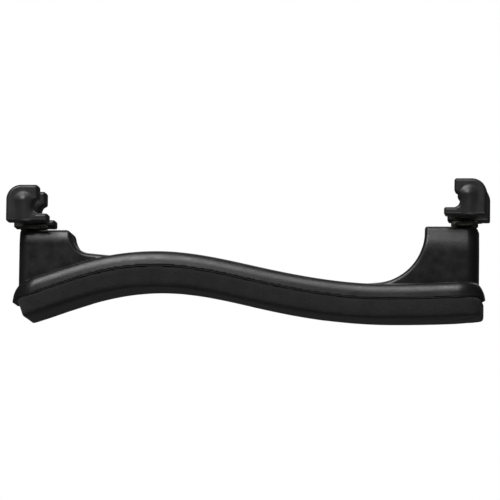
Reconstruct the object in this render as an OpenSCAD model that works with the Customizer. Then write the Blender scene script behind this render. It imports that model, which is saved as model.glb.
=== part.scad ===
// Violin shoulder rest: a moulded bar with two end towers, a foam pad beneath it, and a
// height-adjustable foot on each tower whose two rubber claws grip the violin's edge.
// Frame: X along the bar, Y across it, Z up towards the violin; the origin is under the
// middle of the part, level with the lowest line of the pad.

/* [Bar] */
// Width of the bar across the shoulder
bar_w = 38; // [34:1:44]
// Thickness of the moulded bar
plate_t = 7.2; // [6:0.1:7.5]
// Radius of the bar's corners, seen from above
bar_corner_r = 12; // [10:1:16]
// Left end of the bar
bar_left = -114; // [-115:0.5:-113.5]
// Right end of the bar
bar_right = 115; // [114:0.5:116]

/* [Pad] */
// Thickness of the foam pad
pad_t = 9.5; // [9:0.1:11]
// How far the pad stays inside the bar along the sides
pad_inset_side = 0.5; // [0.5:0.5:3]
// How far the pad stays inside the bar at the ends
pad_inset_end = 1; // [0.5:0.5:3]
// Thickness of the adhesive sheet that holds the pad
glue_t = 0.3; // [0.2:0.1:0.5]

/* [Towers] */
// Height of the left tower's top
left_tower_z = 43.7; // [43:0.1:45]
// Height of the right tower's top
right_tower_z = 45.7; // [45:0.1:47]
// Distance of the left tower's outer face from the middle
left_tower_out = 111.2; // [111:0.1:112]
// Distance of the right tower's outer face from the middle
right_tower_out = 111.9; // [111:0.1:112]
// Distance of the left tower's inner face from the middle, at its top
left_tower_in = 86.9; // [86:0.1:87]
// Distance of the right tower's inner face from the middle, at its top
right_tower_in = 86.2; // [86:0.1:87]
// Radius of the left tower's blend into the bar
left_blend_r = 8.7; // [8:0.1:9]
// Radius of the right tower's blend into the bar
right_blend_r = 22.2; // [21.5:0.1:22.5]
// Depth of a tower across the bar
tower_d = 22; // [20:1:24]
// Wall thickness of the hollow towers
tower_wall = 2.6; // [2:0.2:3]

/* [Screws] */
// Distance of each screw's axis from the middle
screw_x = 105; // [104.5:0.1:105.5]
// Distance between the two inserts of a tower
insert_pitch = 10; // [9.5:0.1:10.5]
// Radius of the M5 height screw over its thread
screw_r = 2.5; // [2.5:0.1:2.6]
// Length of the screw below the tower's top, at the lowest setting
screw_reach = 15; // [13:0.5:16]
// Thread lead in one turn
thread_pitch = 0.8; // [0.8:0.1:1]
// Turns that the right foot is already screwed out
right_turns_out = 1.5; // [0:0.5:4]

/* [Feet] */
// Height of a claw
claw_h = 17.8; // [16:0.1:19]
// Width of a claw across the bar
claw_w = 13; // [11:0.5:14]
// Distance between the middles of a foot's two claws
claw_pitch = 27; // [27:0.5:30]
// Reach of a claw's back outwards from the screw
claw_back = 11.5; // [10.5:0.1:12]
// Reach of the upper lip inwards from the screw
lip_reach = 4.1; // [3:0.1:5]
// Reach of the lower jaw inwards from the screw
jaw_reach = 9; // [8.5:0.1:9.5]
// Height of the mouth that takes the violin's edge
mouth_h = 7.4; // [6.5:0.1:8]

/* [Hidden] */
$fn = 64;

// The bar's top line, as knots of [x, z, slope] joined by cubic curves
bar_line = [[bar_left, 15.7, 0.37], [-80, 27.3, 0.30], [-43, 32.8, 0],
            [4, 25.8, -0.225], [68, plate_t + glue_t + pad_t, 0], [bar_right, 18.4, 0.04]];
stations = 60;
clear = 0.05;
// Where the blends of the two towers end on the bar, and where their hollows end inwards
left_foot_in = 64;
right_foot_in = 55;
left_hollow_in = 82;
right_hollow_in = 84;
// Heights of the blends' centres below the towers' tops, and the left inner face's lean
left_blend_drop = 2.8;
right_blend_drop = 5.3;
left_lean = 1.6;
left_blend_end = 258;
// Radii of the towers' top corners in side view, and of their upright edges and hollows
left_corner_r = 1.5;
right_corner_r = 2.5;
inner_corner_r = 1.2;
tower_edge_r = 5;
hollow_edge_r = 2;
end_wall = 4.2;
// Inserts, their pilot holes, and the bosses round them, which run into each other
insert_r = 3.5;
insert_len = 12;
pilot_r = screw_r + 0.3;
pilot_depth = screw_reach + 1.5;
boss_r = insert_pitch / 2 + 0.4;
boss_len = pilot_depth + 2;
washer_r = 5;
nut_r = 6.6;
nut_z = clear;
nut_t = 3.1;
washer_z = nut_z + nut_t + clear;
washer_t = 0.6;
plate_z = washer_z + washer_t + clear;
fork_t = 2.2;
fork_w = 7;
claw_z = plate_z - 0.65;
jaw_t = 3.8;
mouth_x = 1;
tongue_x = -7.6;
tongue_h = 8.6;
neck_r = 2;
head_r = 3.6;
head_t = 1;
// Rounding of a claw in side view: the back's crown, the lip's two corners and the jaw
crown_r = 7.2;
lip_r = 1.3;
lip_under_r = 0.8;
jaw_r = 1;
left_lift = 0;
right_lift = right_turns_out * thread_pitch;

// Cubic curve between two knots, and its slope
function hermite(a, b, t) = let (w = b[0] - a[0])
    (2*t*t*t - 3*t*t + 1) * a[1] + (t*t*t - 2*t*t + t) * w * a[2]
    + (3*t*t - 2*t*t*t) * b[1] + (t*t*t - t*t) * w * b[2];
function hermite_slope(a, b, t) = let (w = b[0] - a[0])
    ((6*t*t - 6*t) * a[1] + (6*t - 6*t*t) * b[1]) / w
    + (3*t*t - 4*t + 1) * a[2] + (3*t*t - 2*t) * b[2];
function span_of(x, i = 0) =
    (i >= len(bar_line) - 2 || x <= bar_line[i + 1][0]) ? i : span_of(x, i + 1);
function part_of(x, i) = (x - bar_line[i][0]) / (bar_line[i + 1][0] - bar_line[i][0]);
function top_z(x) = let (i = span_of(x)) hermite(bar_line[i], bar_line[i + 1], part_of(x, i));
function top_slope(x) = let (i = span_of(x))
    hermite_slope(bar_line[i], bar_line[i + 1], part_of(x, i));

// Point at a depth below the bar's top line, square to it
function under(x, depth) = let (m = top_slope(x), n = sqrt(1 + m * m))
    [x + depth * m / n, top_z(x) - depth / n];
function layer(x0, x1, d0, d1) = let (xs = [for (i = [0:stations]) x0 + (x1 - x0) * i / stations])
    concat([for (x = xs) under(x, d0)],
           [for (i = [stations:-1:0]) under(xs[i], d1)]);
function arc(c, r, a0, a1, n = 12) =
    [for (i = [0:n]) let (a = a0 + (a1 - a0) * i / n) c + r * [cos(a), sin(a)]];

// A profile in X and Z, drawn out across the bar
module slab(points, depth)
    translate([0, depth / 2, 0]) rotate([90, 0, 0]) linear_extrude(depth) polygon(points);

// A rounded rectangle in plan, drawn up through the whole part
module rounded_plan(x0, x1, depth, r) translate([0, 0, -5]) linear_extrude(100) {
    translate([x0 + r, -depth / 2]) square([x1 - x0 - 2 * r, depth]);
    translate([x0, -depth / 2 + r]) square([x1 - x0, depth - 2 * r]);
    for (x = [x0 + r, x1 - r], y = [-1, 1]) translate([x, y * (depth / 2 - r)]) circle(r);
}

// Side view of a tower, inset by w. Its foot is a line at a depth below the bar's top.
function below(x, depth) = [x, top_z(x) - depth];
function foot_line(x0, x1, depth) = [for (i = [0:8]) below(x0 + (x1 - x0) * i / 8, depth)];
function left_tower_side(w, depth) = let (top = left_tower_z - w) concat(
    foot_line(-left_foot_in, w - left_tower_out, depth),
    arc([w - left_tower_out + left_corner_r, top - left_corner_r], left_corner_r, 180, 90, 4),
    arc([-left_tower_in - w - inner_corner_r, top - inner_corner_r], inner_corner_r, 90, 0, 4),
    arc([left_blend_r + left_lean - left_tower_in, left_tower_z - left_blend_drop],
        left_blend_r + w, 180, left_blend_end),
    [below(-left_foot_in, w)]);
function right_tower_side(w, depth) = let (top = right_tower_z - w) concat(
    foot_line(right_tower_out - w, right_foot_in, depth),
    [below(right_foot_in, w)],
    arc([right_tower_in - right_blend_r, right_tower_z - right_blend_drop],
        right_blend_r + w, 270, 360),
    arc([right_tower_in + w + inner_corner_r, top - inner_corner_r], inner_corner_r, 180, 90, 4),
    arc([right_tower_out - w - right_corner_r, top - right_corner_r], right_corner_r, 90, 0, 4));

// Holes for the inserts and the free end of a screw, and the bosses around them
module at_inserts(side) for (i = [0, 1]) translate([side * (screw_x - i * insert_pitch), 0, 0])
    children();
module insert_holes(side, top) at_inserts(side) {
    translate([0, 0, top - insert_len]) cylinder(r = insert_r, h = insert_len + 1);
    translate([0, 0, top - pilot_depth]) cylinder(r = pilot_r, h = pilot_depth);
}
module bosses(side, top) at_inserts(side)
    translate([0, 0, top - boss_len]) cylinder(r = boss_r, h = boss_len - tower_wall / 2);

// The hollow of a tower, open below through the bar, with the bosses hanging in it
module hollow(side, profile, top, x0, x1) let (depth = tower_d - 2 * tower_wall) difference() {
    intersection() {
        slab(profile, depth);
        rounded_plan(x0, x1, depth, hollow_edge_r);
    }
    bosses(side, top);
}

module chassis() color("#26272a") let (buried = plate_t / 2, through = plate_t + 1) difference() {
    union() {
        intersection() {
            slab(layer(bar_left, bar_right, 0, plate_t), bar_w);
            rounded_plan(bar_left, bar_right, bar_w, bar_corner_r);
        }
        intersection() {
            slab(left_tower_side(0, buried), tower_d);
            rounded_plan(-left_tower_out, -left_foot_in, tower_d, tower_edge_r);
        }
        intersection() {
            slab(right_tower_side(0, buried), tower_d);
            rounded_plan(right_foot_in, right_tower_out, tower_d, tower_edge_r);
        }
    }
    hollow(-1, left_tower_side(tower_wall, through), left_tower_z,
           end_wall - left_tower_out, -left_hollow_in);
    hollow(1, right_tower_side(tower_wall, through), right_tower_z,
           right_hollow_in, right_tower_out - end_wall);
    insert_holes(-1, left_tower_z);
    insert_holes(1, right_tower_z);
}

// A layer under the bar. It is drawn along the bar's own stations, so that the faces of
// neighbouring layers are the same, and a second slab cuts its ends square to the line.
module pad_layer(d0, d1) intersection() {
    slab(layer(bar_left, bar_right, d0, d1), bar_w);
    slab(layer(bar_left + pad_inset_end, bar_right - pad_inset_end, d0 - 1, d1 + 1), bar_w);
    rounded_plan(bar_left + pad_inset_end, bar_right - pad_inset_end,
                 bar_w - 2 * pad_inset_side, bar_corner_r - pad_inset_end);
}
module foam_pad() color("#1c1c1e") pad_layer(plate_t + glue_t, plate_t + glue_t + pad_t);
module pad_adhesive() color("#202022") pad_layer(plate_t, plate_t + glue_t);

module insert(x, top) color("#7d6a3c") translate([x, 0, top - insert_len]) difference() {
    cylinder(r = insert_r, h = insert_len);
    translate([0, 0, -1]) cylinder(r = screw_r + clear, h = insert_len + 2);
}

module screw(x, top) color("#4a4b4e") translate([x, 0, top]) {
    translate([0, 0, -screw_reach]) cylinder(r = screw_r, h = screw_reach + plate_z);
    translate([0, 0, plate_z]) cylinder(r = neck_r, h = fork_t);
    translate([0, 0, plate_z + fork_t]) cylinder(r = head_r, h = head_t);
}

module ring(x, z, r, bore, h) translate([x, 0, z]) difference() {
    cylinder(r = r, h = h);
    translate([0, 0, -1]) cylinder(r = bore, h = h + 2);
}
module locknut(x, top) color("#6b6b64") ring(x, top + nut_z, nut_r, screw_r + clear, nut_t);
module washer(x, top) color("#2c2c2e") ring(x, top + washer_z, washer_r, screw_r + clear, washer_t);

// Steel core of one claw: the end of the fork's arm and the tongue bent up from it
module prong(y) translate([0, y, plate_z]) {
    translate([tongue_x, -fork_w / 2, 0]) cube([-tongue_x + fork_w / 2, fork_w, fork_t]);
    translate([tongue_x, -fork_w / 2, 0]) cube([fork_t, fork_w, tongue_h]);
}
// Foot parts are drawn with +X pointing inwards, at the origin, above the tower's top
module place_foot(side, top) translate([side * screw_x, 0, top])
    mirror([side > 0 ? 1 : 0, 0, 0]) children();
module fork(side, top) color("#4a4b4e") place_foot(side, top) difference() {
    union() {
        for (y = [-1, 1]) prong(y * claw_pitch / 2);
        translate([-fork_w / 2, -claw_pitch / 2, plate_z]) cube([fork_w, claw_pitch, fork_t]);
        translate([0, 0, plate_z]) cylinder(r = nut_r, h = fork_t);
    }
    translate([0, 0, plate_z - 1]) cylinder(r = neck_r, h = fork_t + 2);
}

// Side view of a claw: sole, back, crown, lip, round-floored mouth and lower jaw
claw_side = let (mouth_r = mouth_h / 2, mouth_c = jaw_t + mouth_r) concat(
    [[-claw_back + 1.2, 0], [-claw_back + 0.3, 0.9]],
    arc([-claw_back + crown_r, claw_h - crown_r], crown_r, 180, 90),
    arc([lip_reach - lip_r, claw_h - lip_r], lip_r, 90, 0, 4),
    arc([lip_reach - lip_under_r, jaw_t + mouth_h + lip_under_r], lip_under_r, 0, -90, 4),
    arc([mouth_x + mouth_r, mouth_c], mouth_r, 90, 270),
    arc([jaw_reach - jaw_r, jaw_t - jaw_r], jaw_r, 90, 0, 4),
    [[jaw_reach - 0.2, 0.7], [jaw_reach - 1, 0]]);
module claw(side, top, y) color("#17181a") place_foot(side, top) difference() {
    translate([0, y * claw_pitch / 2, claw_z]) slab(claw_side, claw_w);
    prong(y * claw_pitch / 2);
    translate([-fork_w / 2, -claw_pitch / 2, plate_z]) cube([fork_w, claw_pitch, fork_t]);
}

chassis();
foam_pad();
pad_adhesive();
insert(-screw_x, left_tower_z);  // left_insert_outer
insert(insert_pitch - screw_x, left_tower_z);  // left_insert_inner
insert(screw_x, right_tower_z);  // right_insert_outer
insert(screw_x - insert_pitch, right_tower_z);  // right_insert_inner
screw(-screw_x, left_tower_z + left_lift);  // left_screw
screw(screw_x, right_tower_z + right_lift);  // right_screw
locknut(-screw_x, left_tower_z);  // left_locknut
locknut(screw_x, right_tower_z);  // right_locknut
washer(-screw_x, left_tower_z + left_lift);  // left_washer
washer(screw_x, right_tower_z + right_lift);  // right_washer
fork(-1, left_tower_z + left_lift);  // left_fork
fork(1, right_tower_z + right_lift);  // right_fork
claw(-1, left_tower_z + left_lift, -1);  // left_claw_near
claw(-1, left_tower_z + left_lift, 1);  // left_claw_far
claw(1, right_tower_z + right_lift, -1);  // right_claw_near
claw(1, right_tower_z + right_lift, 1);  // right_claw_far
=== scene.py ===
import itertools
import math

import bmesh
import bpy
import numpy as np
from mathutils import Matrix, Vector


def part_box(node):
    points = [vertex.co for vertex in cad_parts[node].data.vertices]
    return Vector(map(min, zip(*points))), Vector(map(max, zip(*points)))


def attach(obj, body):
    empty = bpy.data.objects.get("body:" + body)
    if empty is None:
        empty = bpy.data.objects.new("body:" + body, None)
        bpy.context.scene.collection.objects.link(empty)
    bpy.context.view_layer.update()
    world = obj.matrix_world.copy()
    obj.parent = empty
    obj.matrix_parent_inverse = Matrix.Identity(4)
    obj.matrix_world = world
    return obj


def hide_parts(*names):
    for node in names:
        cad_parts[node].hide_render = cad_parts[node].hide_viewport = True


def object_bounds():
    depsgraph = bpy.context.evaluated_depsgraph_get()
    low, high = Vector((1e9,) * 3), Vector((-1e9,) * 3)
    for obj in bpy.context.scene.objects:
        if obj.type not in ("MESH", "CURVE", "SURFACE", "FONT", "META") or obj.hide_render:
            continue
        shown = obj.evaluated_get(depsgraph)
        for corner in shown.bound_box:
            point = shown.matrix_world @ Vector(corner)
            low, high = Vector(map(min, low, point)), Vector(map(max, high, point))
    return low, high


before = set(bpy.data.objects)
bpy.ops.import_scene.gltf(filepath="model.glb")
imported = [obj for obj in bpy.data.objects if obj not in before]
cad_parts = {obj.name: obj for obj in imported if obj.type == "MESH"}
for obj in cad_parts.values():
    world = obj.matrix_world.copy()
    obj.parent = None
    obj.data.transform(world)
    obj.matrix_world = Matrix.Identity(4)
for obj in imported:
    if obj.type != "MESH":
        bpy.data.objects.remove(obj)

cad_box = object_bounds()

# Shapes are worked out in millimetres in the frame's own axes, and made in metres.
MM = 0.001

# The bar's top line, as knots of (x, z, slope) joined by cubic curves, and the moulding's sizes
BAR_LINE = ((-114, 15.7, 0.37), (-80, 27.3, 0.30), (-43, 32.8, 0),
            (4, 25.8, -0.225), (68, 17, 0), (115, 18.4, 0.04))
BAR_LEFT, BAR_RIGHT = BAR_LINE[0][0], BAR_LINE[-1][0]
BAR_HALF = 19
BAR_CORNER = 12
PLATE = 7.2
# The bar's upper edge is an oval, this far in from the side and down from the top, and its side
# leans in by a slope that changes along the bar
EDGE_ACROSS, EDGE_DOWN = 3.4, 5.0
LEAN_AT = (-100, -60, -5, 45)
LEAN = (0.18, 0.27, 0.27, 0.18)
UNDER_FILLET = 0.3
# Thicknesses of the adhesive and the pad, how far the pad stays in at the ends and sides, and its
# corners seen from above
GLUE = 0.3
PAD = 9.5
PAD_INSET, PAD_SIDE_INSET = 1, 0.5
PAD_CORNER = 8
# The towers' walls, the bosses inside them, the inserts and the holes below them
WALL = 2.6
BOSS_R, BOSS_DEPTH = 5.4, 18.5
INSERT_R, INSERT_DEPTH = 3.5, 12
PILOT_R, PILOT_DEPTH = 2.8, 16.5
# The height screws, from the tower's top down, and the forks on them
SCREW_R, PITCH = 2.5, 0.8
SCREW_REACH = 15
FORK_Z, FORK_T = 3.85, 2.2
SIDES = ("left", "right")
INSERTS = ("outer", "inner")


def node_mm(node):
    """Lowest and highest corner of a CAD node, in millimetres."""
    return [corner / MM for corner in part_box(node)]


# ---------------------------------------------------------------- distance fields
def round_and(a, b, r):
    """What lies in both shapes, with their shared edge rounded to r."""
    return np.minimum(-r, np.maximum(a, b)) + np.hypot(np.maximum(r + a, 0), np.maximum(r + b, 0))


def round_or(a, b, r):
    """What lies in either shape, with the corner between them filled to r."""
    return np.maximum(r, np.minimum(a, b)) - np.hypot(np.maximum(r - a, 0), np.maximum(r - b, 0))


def oval_and(side, top, across, down):
    """round_and whose edge is an oval: across wide on the side, down deep from the top."""
    k = down / across
    rounded = round_and(side * k, top, down)
    return np.where(rounded > 0, rounded / k, rounded)


def lean(wall, below, slope):
    """A wall's distance once it leans in by slope, from where below is zero, and upwards."""
    return (wall + slope * below) / np.hypot(1, slope)


def smooth_and(a, b, k):
    """What lies in both of two nearly parallel faces, blended over a width k."""
    return np.maximum(a, b) + np.maximum(k - np.abs(a - b), 0) ** 2 / (4 * k)


def rounded_rect(x, y, x0, x1, half, r):
    qx = np.abs(x - (x0 + x1) / 2) - (x1 - x0) / 2 + r
    qy = np.abs(y) - half + r
    return np.hypot(np.maximum(qx, 0), np.maximum(qy, 0)) + np.minimum(np.maximum(qx, qy), 0) - r


def bar_line(x):
    """Height and slope of the bar's top line at x."""
    knots = np.array(BAR_LINE, float)
    i = np.clip(np.searchsorted(knots[:, 0], x) - 1, 0, len(knots) - 2)
    (x0, z0, m0), (x1, z1, m1) = np.moveaxis(knots[i], -1, 0), np.moveaxis(knots[i + 1], -1, 0)
    w = x1 - x0
    t = (x - x0) / w
    z = ((2*t**3 - 3*t**2 + 1) * z0 + (t**3 - 2*t**2 + t) * w * m0
         + (3*t**2 - 2*t**3) * z1 + (t**3 - t**2) * w * m1)
    slope = (6*t**2 - 6*t) * (z0 - z1) / w + (3*t**2 - 4*t + 1) * m0 + (3*t**2 - 2*t) * m1
    return z, slope


def above_bar(x, z):
    """Height above the bar's top line, square to it."""
    line, slope = bar_line(x)
    return (z - line) / np.hypot(1, slope)


def field_slope(field, points, nudge):
    """Value of a field at points, and its gradient there."""
    here = field(*points.T)
    return here, np.stack([field(*(points + nudge * e).T) - here for e in np.eye(3)], 1) / nudge


def surface(field, low, high, step):
    """The field's zero surface as vertices, quads and normals: one vertex in each cell it crosses."""
    margin_low, margin_high, nudge = 2 * step, 3 * step, 0.05 * step
    rounds, stride, flattest, reach = 6, 0.9, 0.05, 0.6 * step
    axes = [np.arange(a - margin_low, b + margin_high, step) for a, b in zip(low, high)]
    inside = field(*np.meshgrid(*axes, indexing="ij", sparse=True)) < 0
    nx, ny, nz = (n - 1 for n in inside.shape)
    count = sum(inside[i:nx + i, j:ny + j, k:nz + k].astype(np.int8)
                for i, j, k in itertools.product((0, 1), repeat=3))
    mixed = (count > 0) & (count < 8)
    index = np.full(mixed.shape, -1)
    index[mixed] = np.arange(mixed.sum())
    cells = np.argwhere(mixed)
    centre = np.array([axes[a][0] for a in range(3)]) + (cells + 0.5) * step
    points = centre.copy()
    for _ in range(rounds):
        here, grad = field_slope(field, points, nudge)
        points -= stride * here[:, None] * grad / np.maximum((grad ** 2).sum(1), flattest)[:, None]
        points = np.clip(points, centre - reach, centre + reach)
    quads = []
    for axis in range(3):
        a, b = [(1, 2), (2, 0), (0, 1)][axis]
        first = np.take(inside, range(inside.shape[axis] - 1), axis)
        last = np.take(inside, range(1, inside.shape[axis]), axis)
        for leaving in (True, False):
            edge = np.argwhere((first & ~last) if leaving else (~first & last))
            ring = []
            for da, db in ((-1, -1), (0, -1), (0, 0), (-1, 0)):
                cell = edge.copy()
                cell[:, a] += da
                cell[:, b] += db
                ring.append(index[tuple(cell.T)])
            quads.append(np.stack(ring if leaving else ring[::-1], 1))
    normals = field_slope(field, points, nudge)[1]
    normals /= np.maximum(np.linalg.norm(normals, axis=1, keepdims=True), 1e-6)
    return points, np.concatenate(quads), normals


# ---------------------------------------------------------------- mesh helpers
def add_piece(name, points, faces, finish, body, normals=None):
    """A smooth mesh from points in millimetres, riding on a body."""
    mesh = bpy.data.meshes.new(name)
    mesh.from_pydata((points * MM).tolist(), [], np.asarray(faces).tolist())
    mesh.validate()
    mesh.polygons.foreach_set("use_smooth", [True] * len(mesh.polygons))
    if normals is not None:
        mesh.normals_split_custom_set_from_vertices(normals.tolist())
    piece = bpy.data.objects.new(name, mesh)
    bpy.context.scene.collection.objects.link(piece)
    mesh.materials.append(finish)
    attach(piece, body)
    return piece


def add_modifier(piece, kind, **settings):
    modifier = piece.modifiers.new(kind.lower(), kind)
    for key, value in settings.items():
        setattr(modifier, key, value)
    return modifier


def apply_modifiers(piece):
    graph = bpy.context.evaluated_depsgraph_get()
    mesh = bpy.data.meshes.new_from_object(piece.evaluated_get(graph))
    piece.modifiers.clear()
    piece.data = mesh


def lathe(profile, steps):
    """A ring turned from a closed profile of (radius, z). profile may be a function of the angle."""
    rings = []
    for i in range(steps):
        angle = 2 * math.pi * i / steps
        section = profile(angle) if callable(profile) else profile
        rings.append([(r * math.cos(angle), r * math.sin(angle), z) for r, z in section])
    n = len(rings[0])
    faces = [(i * n + j, (i + 1) % steps * n + j, (i + 1) % steps * n + (j + 1) % n, i * n + (j + 1) % n)
             for i in range(steps) for j in range(n)]
    return np.array(sum(rings, [])), faces


# ---------------------------------------------------------------- materials
# Where the slow noise turns from dark to light, how much finer the noise of the roughness is, the
# pointiness at which wear starts and is full, the worn colour, and the pores' rims and floors
SPOT_RAMP = (0.35, 0.65)
ROUGH_FINER = 4
WORN_EDGE = (0.53, 0.66)
WORN_GAIN, WORN_LIFT = 2.2, 0.03
PORE_RAMP = (0.05, 0.45)


def material(name, dark, light, rough, bump, grain, spot=60, metallic=0.0, pores=None,
             wear=0.0, **constants):
    """Procedural finish. dark and light: base colours that a slow noise mixes; rough: its range;
    bump and grain: depth and cell size in metres of the fine surface; pores: depth and size of
    open cells; wear: how much light edges show. Other values go straight onto the shader."""
    made = bpy.data.materials.new(name)
    made.use_nodes = True
    nodes, links = made.node_tree.nodes, made.node_tree.links
    shader = nodes["Principled BSDF"]
    shader.inputs["Metallic"].default_value = metallic
    for socket, value in constants.items():
        shader.inputs[socket.replace("_", " ")].default_value = value
    place = nodes.new("ShaderNodeTexCoord").outputs["Object"]

    def noise(scale, detail=3.0):
        node = nodes.new("ShaderNodeTexNoise")
        node.inputs["Scale"].default_value = scale
        node.inputs["Detail"].default_value = detail
        links.new(place, node.inputs["Vector"])
        return node.outputs["Fac"]

    def ramp(value, *stops):
        node = nodes.new("ShaderNodeValToRGB")
        for element, (at, colour) in zip(node.color_ramp.elements, stops):
            element.position = at
            element.color = (*colour, 1)
        links.new(value, node.inputs["Fac"])
        return node.outputs["Color"]

    def spread(value, low, high, at_low=0.3, at_high=0.7):
        """value, taken from at_low..at_high to low..high."""
        node = nodes.new("ShaderNodeMapRange")
        for i, number in enumerate((at_low, at_high, low, high), 1):
            node.inputs[i].default_value = number
        links.new(value, node.inputs["Value"])
        return node.outputs["Result"]

    colour = ramp(noise(spot), (SPOT_RAMP[0], dark), (SPOT_RAMP[1], light))
    if wear:
        pointed = nodes.new("ShaderNodeNewGeometry").outputs["Pointiness"]
        mix = nodes.new("ShaderNodeMix")
        mix.data_type = "RGBA"
        factor, flat, rubbed, mixed = mix.inputs[0], mix.inputs[6], mix.inputs[7], mix.outputs[2]
        links.new(spread(pointed, 0.0, wear, *WORN_EDGE), factor)
        links.new(colour, flat)
        rubbed.default_value = (*[min(1, c * WORN_GAIN + WORN_LIFT) for c in light], 1)
        colour = mixed
    links.new(colour, shader.inputs["Base Color"])
    links.new(spread(noise(spot * ROUGH_FINER), *rough), shader.inputs["Roughness"])

    height = nodes.new("ShaderNodeBump")
    height.inputs["Distance"].default_value = bump
    height.inputs["Strength"].default_value = 1.0
    links.new(noise(1 / grain, 2.0), height.inputs["Height"])
    if pores:
        depth, size = pores
        cells = nodes.new("ShaderNodeTexVoronoi")
        cells.inputs["Scale"].default_value = 1 / size
        links.new(place, cells.inputs["Vector"])
        hollow = nodes.new("ShaderNodeBump")
        hollow.inputs["Distance"].default_value = depth
        links.new(spread(cells.outputs["Distance"], 0.0, 1.0, *PORE_RAMP), hollow.inputs["Height"])
        links.new(hollow.outputs["Normal"], height.inputs["Normal"])
    links.new(height.outputs["Normal"], shader.inputs["Normal"])
    return made


def grey(level):
    return (level, level, level)


PLASTIC = material("moulded_plastic", grey(0.0075), grey(0.0118), (0.30, 0.42), 0.00003, 0.0006,
                   wear=0.35)
FOAM = material("foam", grey(0.0088), grey(0.0138), (0.85, 0.97), 0.00006, 0.0009, spot=120,
                pores=(0.00025, 0.0007), Sheen_Weight=0.08, Sheen_Roughness=0.6)
RUBBER = material("claw_rubber", grey(0.017), grey(0.025), (0.34, 0.48), 0.00003, 0.0012, wear=0.2)
BRASS = material("brass", (0.40, 0.30, 0.13), (0.52, 0.40, 0.19), (0.30, 0.45), 0.00002, 0.0004,
                 spot=400, metallic=1.0, wear=0.3)
PLATED = material("plated_steel", (0.12, 0.121, 0.105), (0.18, 0.182, 0.158), (0.34, 0.50),
                  0.00002, 0.0004, spot=400, metallic=1.0, wear=0.3)
STEEL = material("steel", (0.075, 0.076, 0.08), (0.12, 0.12, 0.125), (0.32, 0.48), 0.00002, 0.0005,
                 spot=300, metallic=1.0, wear=0.3)
NYLON = material("nylon", grey(0.018), grey(0.028), (0.42, 0.55), 0.00002, 0.0006,
                 spot=300)
# The adhesive's grey is lighter than the black plastic, so the recess under the plate shows less shade
# there: painted light.
ADHESIVE_PAINTED_LIGHT = material("adhesive", grey(0.04), grey(0.05), (0.6, 0.8), 0.00002, 0.0005, spot=200)


# ---------------------------------------------------------------- chassis
# Each tower by its distance from the middle: inner and outer faces, the blend's radius, where
# the blend starts on the bar and a point that it passes, the radii of its top edges, and how far
# down its walls lean in
TOWERS = {
    "left": dict(sign=-1, inner=85.3, outer=111.2, blend=8.7, foot=64, run=((64, 31.0), (78.4, 32.4)),
                 corner_in=3.2, corner_out=1.5, brow=4.6, brow_lean=0.34, hollow_in=82),
    "right": dict(sign=1, inner=86.2, outer=111.9, blend=22.2, foot=55, run=((55, 17.5), (64, 18.2)),
                  corner_in=1.6, corner_out=2.5, brow=9.8, brow_lean=0.23, hollow_in=84),
}
TOWER_HALF = 11
# Radii of the upright edges, of the walls' upper edge and of the corner where a tower meets the
# bar, and the width over which the wall turns to its lean
EDGE_OUT, EDGE_IN = 5, 2.2
BROW_FILLET = 1.6
FLARE = 0.2
BROW_BLEND = 0.8
# The hollow: the wall at its outer end, and the radii of its upright and upper edges
END_WALL = 4.2
HOLLOW_EDGE, HOLLOW_TOP_EDGE = 2, 1
# The mould's pocket for an insert: its play, its counterbore and the radius in that
POCKET_PLAY = 0.15
COUNTERBORE, COUNTERBORE_R = 0.6, 0.1
CHASSIS_STEP = 0.65
for side, tower in TOWERS.items():
    tower["top"] = node_mm(f"{side}_insert_outer")[1].z
    tower["axes"] = [abs(node_mm(f"{side}_insert_{where}")[0].x + INSERT_R) for where in INSERTS]


def tower_fields(x, y, z, t):
    """A tower with its blend into the bar, and the hollow inside it."""
    d = x * t["sign"]
    (d0, z0), (d1, z1) = t["run"]
    slope = (z1 - z0) / (d1 - d0)
    over_foot = (z - z0 - slope * (d - d0)) / math.hypot(1, slope)
    inner = -round_and(d - t["inner"], -over_foot, t["blend"])
    outer, top, wall = d - t["outer"], z - t["top"], np.abs(y) - TOWER_HALF
    wall = smooth_and(wall, lean(wall, top + t["brow"], t["brow_lean"]), BROW_BLEND)
    solid = np.maximum.reduce(np.broadcast_arrays(
        round_and(outer, top, t["corner_out"]), round_and(inner, top, t["corner_in"]),
        round_and(wall, top, BROW_FILLET), round_and(outer, wall, EDGE_OUT),
        round_and(inner, wall, EDGE_IN), t["foot"] - d, -PLATE - above_bar(x, z)))
    plan = rounded_rect(d, y, t["hollow_in"], t["outer"] - END_WALL, TOWER_HALF - WALL, HOLLOW_EDGE)
    hollow = round_and(np.maximum(plan, inner + WALL), top + WALL, HOLLOW_TOP_EDGE)
    for axis in t["axes"]:
        boss = np.maximum(np.hypot(d - axis, y) - BOSS_R, -BOSS_DEPTH - top)
        hollow = np.maximum(hollow, -boss)
    return solid, hollow


def chassis_field(x, y, z):
    rise = above_bar(x, z)
    plan = rounded_rect(x, y, BAR_LEFT, BAR_RIGHT, BAR_HALF, BAR_CORNER)
    side = lean(plan, rise + PLATE, np.interp(x, LEAN_AT, LEAN))
    body = round_and(oval_and(side, rise, EDGE_ACROSS, EDGE_DOWN), -PLATE - rise, UNDER_FILLET)
    for t in TOWERS.values():
        solid, hollow = tower_fields(x, y, z, t)
        body = np.maximum.reduce(np.broadcast_arrays(round_or(body, solid, FLARE), plan, -hollow))
        for axis in t["axes"]:
            around, top = np.hypot(x * t["sign"] - axis, y), z - t["top"]
            pocket = np.maximum(around - INSERT_R + POCKET_PLAY, -INSERT_DEPTH - top)
            pilot = np.maximum(around - PILOT_R, -PILOT_DEPTH - top)
            rebate = round_and(around - INSERT_R - COUNTERBORE, -COUNTERBORE - top, COUNTERBORE_R)
            body = np.maximum.reduce([body, -pocket, -pilot, -rebate])
    return body


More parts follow.
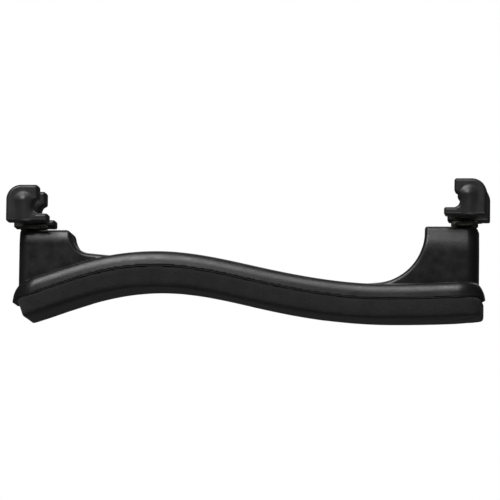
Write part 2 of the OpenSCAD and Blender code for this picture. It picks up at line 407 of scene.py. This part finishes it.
low, high = node_mm("chassis")
points, quads, normals = surface(chassis_field, low, high, CHASSIS_STEP)
chassis = add_piece("moulded_chassis", points, quads, PLASTIC, "root", normals)
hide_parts("chassis")


# ---------------------------------------------------------------- foam pad
# Depth of the pad's glued face, how much less deep the pad starts than the CAD's, and its mesh
PAD_TOP = PLATE + GLUE
PAD_SHRINK = 0.1
PAD_STEP = 1.6
# Keeps the grid off the pad's flat faces, where two points of the mesh could fall together
PAD_SHIFT = 0.37
PAD_FILLET = 2.2
END_FILLET = 0.7
# How far below the glued face the foam is still held, and the swelling
GLUED_DEPTH = 0.3
SWELL_PRESSURE, SWELL_MASS = 4.0, 0.02
SWELL_FRAMES = 20
SWELL_CAP = 0.7


def pad_field(x, y, z):
    rise = above_bar(x, z)
    half = BAR_HALF - PAD_SIDE_INSET
    plan = rounded_rect(x, y, BAR_LEFT + PAD_INSET, BAR_RIGHT - PAD_INSET, half, PAD_CORNER)
    under = -PAD_TOP - PAD + PAD_SHRINK - rise
    edge = np.abs(y) - half
    body = np.maximum(np.maximum(rise + PAD_TOP, plan), round_and(edge, under, PAD_FILLET))
    for end, sign in ((BAR_LEFT, -1), (BAR_RIGHT, 1)):
        end_z, end_slope = bar_line(np.array(float(end)))
        square = (x - end + (z - end_z) * end_slope) / math.hypot(1, end_slope)
        body = round_and(body, sign * square + PAD_INSET, END_FILLET)
    return body


def swell(piece, cap):
    """Soft swelling by cloth pressure, with the glued face pinned and every move capped."""
    rest = np.empty(len(piece.data.vertices) * 3)
    piece.data.vertices.foreach_get("co", rest)
    rest = rest.reshape(-1, 3)
    rise = above_bar(rest[:, 0] / MM, rest[:, 2] / MM)
    glued = [int(i) for i in np.flatnonzero(rise > -PAD_TOP - GLUED_DEPTH)]
    group = piece.vertex_groups.new(name="glued")
    group.add(glued, 1.0, "REPLACE")
    cloth = add_modifier(piece, "CLOTH")
    cloth.settings.use_pressure = True
    cloth.settings.uniform_pressure_force = SWELL_PRESSURE
    cloth.settings.vertex_group_mass = group.name
    cloth.settings.effector_weights.gravity = 0.0
    cloth.settings.mass = SWELL_MASS
    for frame_number in range(1, SWELL_FRAMES + 1):
        bpy.context.scene.frame_set(frame_number)
    apply_modifiers(piece)
    moved = np.empty(rest.size)
    piece.data.vertices.foreach_get("co", moved)
    step = moved.reshape(-1, 3) - rest
    reach = np.linalg.norm(step, axis=1, keepdims=True)
    step *= np.minimum(1, cap * MM / np.maximum(reach, 1e-9))
    piece.data.vertices.foreach_set("co", (rest + step).ravel())
    bpy.context.scene.frame_set(1)


low, high = node_mm("foam_pad")
points, quads, _ = surface(pad_field, [c - PAD_SHIFT for c in low], high, PAD_STEP)
pad = add_piece("foam_pad_soft", points, quads, FOAM, "root")
swell(pad, SWELL_CAP)
add_modifier(pad, "SUBSURF", levels=1, render_levels=1)
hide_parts("foam_pad")


# ---------------------------------------------------------------- claws
# A claw's outline: back, height, reaches of lip and jaw, thickness of the jaw, radius and place of
# the mouth, half width, radius of the crown; then the rim's depth and the raised post inside it
CLAW = dict(back=11.5, height=17.8, lip=4.1, jaw=9.0, jaw_t=3.8, mouth=3.7, mouth_x=4.7, half=6.5,
            crown=7.2, rim=1.5, post=-3.0, post_r=4.0, post_top=9.9)
# Radii of its edges, how far the post stays inside the outline, and the mesh
LIP_R, MOUTH_EDGE, JAW_R, SOLE_R = 1.3, 0.8, 1.0, 0.9
RIM_R = 1.6
POST_INSIDE = 0.4
CLAW_STEP = 0.4


def claw_field(u, v, w):
    """One claw: u inwards from its screw, v across from its own middle, w up from its sole."""
    c = CLAW
    mouth = np.hypot(np.minimum(u - c["mouth_x"], 0), w - c["jaw_t"] - c["mouth"]) - c["mouth"]
    over = w - c["height"]
    upper = round_and(round_and(u - c["lip"], over, LIP_R), -mouth, MOUTH_EDGE)
    jaw = round_and(u - c["jaw"], w - c["jaw_t"], JAW_R)
    side = np.maximum(np.minimum(upper, jaw), round_and(-c["back"] - u, over, c["crown"]))
    side = round_and(side, -w, SOLE_R)
    rim = round_and(side, np.abs(v) - c["half"] + c["rim"], RIM_R)
    stem = np.hypot(u - c["post"], np.maximum(w - c["post_top"], 0))
    sunk = c["rim"] * np.clip((c["post_top"] - w) / c["post_top"], 0, 1)
    out = np.maximum(np.abs(v) - c["half"] + c["post_r"] + sunk, 0)
    post = np.hypot(stem, out) - c["post_r"]
    return round_or(rim, np.maximum(post, side + POST_INSIDE), RIM_R)


def add_claw(side, where):
    node = f"{side}_claw_{where}"
    low, high = node_mm(node)
    sign = TOWERS[side]["sign"]
    c = CLAW
    points, quads, normals = surface(claw_field, (-c["back"], -c["half"], 0),
                                     (c["jaw"], c["half"], c["height"]), CLAW_STEP)
    normals = normals * (-sign, 1, 1)
    outer_x = high.x if sign > 0 else low.x
    points = points * (-sign, 1, 1) + (outer_x - sign * c["back"], (low.y + high.y) / 2, low.z)
    if sign > 0:
        quads = quads[:, ::-1]
    claw = add_piece(f"{node}_boot", points, quads, RUBBER, f"{side}_foot", normals)
    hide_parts(node)


for side, where in itertools.product(SIDES, ("near", "far")):
    add_claw(side, where)


# ---------------------------------------------------------------- threads, nuts and washers
# The thread's flanks, as slope and offset of a tooth cut off at root and crest, its core radius on
# the screw, its crest in the insert and its play there; then its mesh
TOOTH_SLOPE, TOOTH_OFFSET = 2.2, 0.6
SCREW_CORE, INSERT_CREST, THREAD_PLAY = 2.08, 2.2, 0.05
THREAD_STEP = 0.1
SCREW_STEPS, INSERT_STEPS, WASHER_STEPS = 36, 40, 64
MERGE = 1e-6
SHARP = math.radians(38)


def thread(angle, z, crest, root):
    """Radius of a right-handed thread at an angle and height."""
    phase = (z / PITCH - angle / (2 * math.pi)) % 1
    tooth = TOOTH_SLOPE * (1 - abs(2 * phase - 1)) - TOOTH_OFFSET
    return root + (crest - root) * min(1, max(0, tooth))


def turned(name, node, profile, steps, finish, body, centre):
    points, faces = lathe(profile, steps)
    piece = add_piece(name, points + centre, faces, finish, body)
    mesh = bmesh.new()
    mesh.from_mesh(piece.data)
    bmesh.ops.remove_doubles(mesh, verts=mesh.verts, dist=MERGE)
    bmesh.ops.recalc_face_normals(mesh, faces=mesh.faces)
    mesh.to_mesh(piece.data)
    piece.data.set_sharp_from_angle(angle=SHARP)
    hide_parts(node)


# Sections as (radius, height): the screw's blunt end, its neck under the fork and its staked head
# over it; the insert's two ends; the nut; the washer. Knurls are a count, a depth and mesh steps.
SCREW_LEAD_IN, SCREW_RUN_OUT = 0.6, 0.9
SCREW_END = [(0, -SCREW_REACH), (1.7, -SCREW_REACH)]
SCREW_NECK = [(2.4, FORK_Z - 0.7), (2.4, FORK_Z), (2.0, FORK_Z)]
STAKE_Z = FORK_Z + FORK_T
STAKED_HEAD = [(2.0, STAKE_Z), (3.3, STAKE_Z), (3.6, STAKE_Z + 0.25), (3.3, STAKE_Z + 0.7),
               (2.2, STAKE_Z + 0.97), (0, STAKE_Z + 1)]
INSERT_CHAMFER, INSERT_LEAD_OUT = 0.5, 0.4
INSERT_MOUTH = [(3.3, 0), (2.9, 0)]
INSERT_END = [(2.8, -INSERT_DEPTH), (3.2, -INSERT_DEPTH)]
INSERT_KNURLS, INSERT_KNURL = 20, 0.12
KNURLS, KNURL, KNURL_STEPS = 44, 0.22, 4
NUT_R = 6.6
NUT_UNDER = [(2.6, 0.25), (2.9, 0), (5.9, 0), (6.2, 0.25)]
NUT_RIM = (0.55, 2.55)
NUT_OVER = [(6.2, 2.85), (5.9, 3.1), (3.6, 3.1), (3.4, 2.95), (2.9, 2.95), (2.6, 2.7)]
WASHER_PROFILE = [(2.6, 0.1), (2.7, 0), (4.9, 0), (5, 0.1), (5, 0.5), (4.9, 0.6), (2.7, 0.6),
                  (2.6, 0.5)]


def screw_profile(angle):
    rows = np.arange(-SCREW_REACH + SCREW_LEAD_IN, FORK_Z - SCREW_RUN_OUT, THREAD_STEP)
    stem = [(thread(angle, z, SCREW_R, SCREW_CORE), z) for z in rows]
    return SCREW_END + stem + SCREW_NECK + STAKED_HEAD


def insert_profile(angle):
    rows = np.arange(-INSERT_CHAMFER, -INSERT_DEPTH + INSERT_LEAD_OUT, -THREAD_STEP)
    bore = [(thread(angle, z, INSERT_CREST, SCREW_R + THREAD_PLAY), z) for z in rows]
    outside = INSERT_R - INSERT_KNURL * (0.5 + 0.5 * math.cos(INSERT_KNURLS * angle))
    return ([(outside, -INSERT_DEPTH + INSERT_LEAD_OUT), (outside, -INSERT_CHAMFER)]
            + INSERT_MOUTH + bore + INSERT_END)


def nut_profile(angle):
    rim = NUT_R - KNURL * abs(math.sin(KNURLS / 2 * angle))
    return NUT_UNDER + [(rim, z) for z in NUT_RIM] + NUT_OVER


def centre_mm(node, height):
    low, high = node_mm(node)
    return ((low.x + high.x) / 2, (low.y + high.y) / 2, height)


for side in SIDES:
    top = TOWERS[side]["top"]
    for which in INSERTS:
        node = f"{side}_insert_{which}"
        turned(f"{node}_threaded", node, insert_profile, INSERT_STEPS, BRASS, "root",
               centre_mm(node, top))
    node = f"{side}_screw"
    low, high = node_mm(node)
    turned(f"{node}_threaded", node, screw_profile, SCREW_STEPS, STEEL, f"{side}_foot",
           centre_mm(node, low.z + SCREW_REACH))
    node = f"{side}_locknut"
    low, high = node_mm(node)
    turned(f"{node}_knurled", node, nut_profile, KNURLS * KNURL_STEPS, PLATED, f"{side}_locknut",
           centre_mm(node, low.z))
    node = f"{side}_washer"
    low, high = node_mm(node)
    turned(f"{node}_turned", node, WASHER_PROFILE, WASHER_STEPS, NYLON, f"{side}_washer",
           centre_mm(node, low.z))


# ---------------------------------------------------------------- CAD pieces that stay
WELD_AT = 1e-5
BEVEL_OVER = math.radians(40)
FORK_EDGE, ADHESIVE_EDGE = 0.3, 0.05


def refinish(node, finish, edge):
    """The CAD shape with its own material and its sharp edges eased."""
    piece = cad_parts[node]
    piece.data.materials.clear()
    piece.data.materials.append(finish)
    add_modifier(piece, "WELD", merge_threshold=WELD_AT)
    add_modifier(piece, "BEVEL", width=edge * MM, segments=2, limit_method="ANGLE",
                 angle_limit=BEVEL_OVER, harden_normals=False)


for side in SIDES:
    refinish(f"{side}_fork", STEEL, FORK_EDGE)
# The adhesive takes the lightened grey, painted light that lifts the shade in the recess under the
# plate.
refinish("pad_adhesive", ADHESIVE_PAINTED_LIGHT, ADHESIVE_EDGE)


# ---------------------------------------------------------------- camera
# Seen from 5.7 degrees to the right and 6.6 degrees below the horizontal (sines), slightly rolled
VIEW_AZIMUTH = math.asin(0.1)
VIEW_SINE = 0.1145
VIEW_ROLL = 0.0129
VIEW_TARGET = Vector((0.88, 0, 34.95)) * MM
VIEW_DISTANCE = 2.4
SENSOR = 36
LENS = 356.0
VIEW_END = 20

level = math.sqrt(1 - VIEW_SINE ** 2)
back = Vector((math.sin(VIEW_AZIMUTH) * level, -math.cos(VIEW_AZIMUTH) * level, -VIEW_SINE))
right = Vector((0, 0, 1)).cross(back).normalized()
up = back.cross(right)
rolled_right = math.cos(VIEW_ROLL) * right + math.sin(VIEW_ROLL) * up
rolled_up = math.cos(VIEW_ROLL) * up - math.sin(VIEW_ROLL) * right
lens_data = bpy.data.cameras.new("camera")
lens_data.lens, lens_data.sensor_width = LENS, SENSOR
lens_data.clip_end = VIEW_END
camera = bpy.data.objects.new("camera", lens_data)
bpy.context.scene.collection.objects.link(camera)
camera.matrix_world = (Matrix.Translation(VIEW_TARGET + back * VIEW_DISTANCE)
                       @ Matrix((rolled_right, rolled_up, back)).transposed().to_4x4())
bpy.context.scene.camera = camera


# ---------------------------------------------------------------- studio
def softbox(name, azimuth, elevation, distance, width, height, watts):
    """An area light aimed at the object. Azimuth 0 is the front, and grows to the right."""
    light = bpy.data.lights.new(name, "AREA")
    light.shape, light.size, light.size_y, light.energy = "RECTANGLE", width, height, watts
    lamp = bpy.data.objects.new(name, light)
    a, e = math.radians(azimuth), math.radians(elevation)
    away = Vector((math.sin(a) * math.cos(e), -math.cos(a) * math.cos(e), math.sin(e)))
    lamp.location = VIEW_TARGET + away * distance
    lamp.rotation_mode = "QUATERNION"
    lamp.rotation_quaternion = (-away).to_track_quat("-Z", "Y")
    bpy.context.scene.collection.objects.link(lamp)


# Degrees, metres and watts
softbox("key", -22, 45, 1.6, 1.0, 0.7, 20.5)
softbox("top", 0, 88, 2.0, 2.0, 2.0, 2)
softbox("back", 172, 48, 2.0, 1.6, 1.2, 11)
softbox("fill", 5, -38, 2.2, 1.2, 1.2, 11)
WHITE = (1, 1, 1, 1)
AMBIENT = 0.04

world = bpy.data.worlds.new("studio")
bpy.context.scene.world = world
world.use_nodes = True
tree = world.node_tree
paper = tree.nodes["Background"]
paper.inputs["Color"].default_value = WHITE
ambient = tree.nodes.new("ShaderNodeBackground")
ambient.inputs["Color"].default_value = WHITE
ambient.inputs["Strength"].default_value = AMBIENT
rays = tree.nodes.new("ShaderNodeLightPath")
either = tree.nodes.new("ShaderNodeMixShader")
tree.links.new(rays.outputs["Is Camera Ray"], either.inputs["Fac"])
tree.links.new(ambient.outputs["Background"], either.inputs[1])
tree.links.new(paper.outputs["Background"], either.inputs[2])
tree.links.new(either.outputs["Shader"], tree.nodes["World Output"].inputs["Surface"])
bpy.context.scene.view_settings.view_transform = "Standard"

# The camera is below the base, so the floor shows from above only, and the object is lit as if it
# weren't there
FLOOR_SIZE = 6.0
FLOOR_COLOUR, FLOOR_ROUGH = (0.82, 0.82, 0.81, 1), 0.9
bpy.ops.mesh.primitive_plane_add(size=FLOOR_SIZE, location=(0, 0, cad_box[0].z))
floor = bpy.context.object
floor.name = "floor"
sheet = bpy.data.materials.new("floor")
sheet.use_nodes = True
tree = sheet.node_tree
diffuse = tree.nodes["Principled BSDF"]
diffuse.inputs["Base Color"].default_value = FLOOR_COLOUR
diffuse.inputs["Roughness"].default_value = FLOOR_ROUGH
clear = tree.nodes.new("ShaderNodeBsdfTransparent")
facing = tree.nodes.new("ShaderNodeNewGeometry")
either = tree.nodes.new("ShaderNodeMixShader")
tree.links.new(facing.outputs["Backfacing"], either.inputs["Fac"])
tree.links.new(diffuse.outputs["BSDF"], either.inputs[1])
tree.links.new(clear.outputs["BSDF"], either.inputs[2])
tree.links.new(either.outputs["Shader"], tree.nodes["Material Output"].inputs["Surface"])
floor.data.materials.append(sheet)
floor.visible_diffuse = floor.visible_glossy = floor.visible_shadow = False
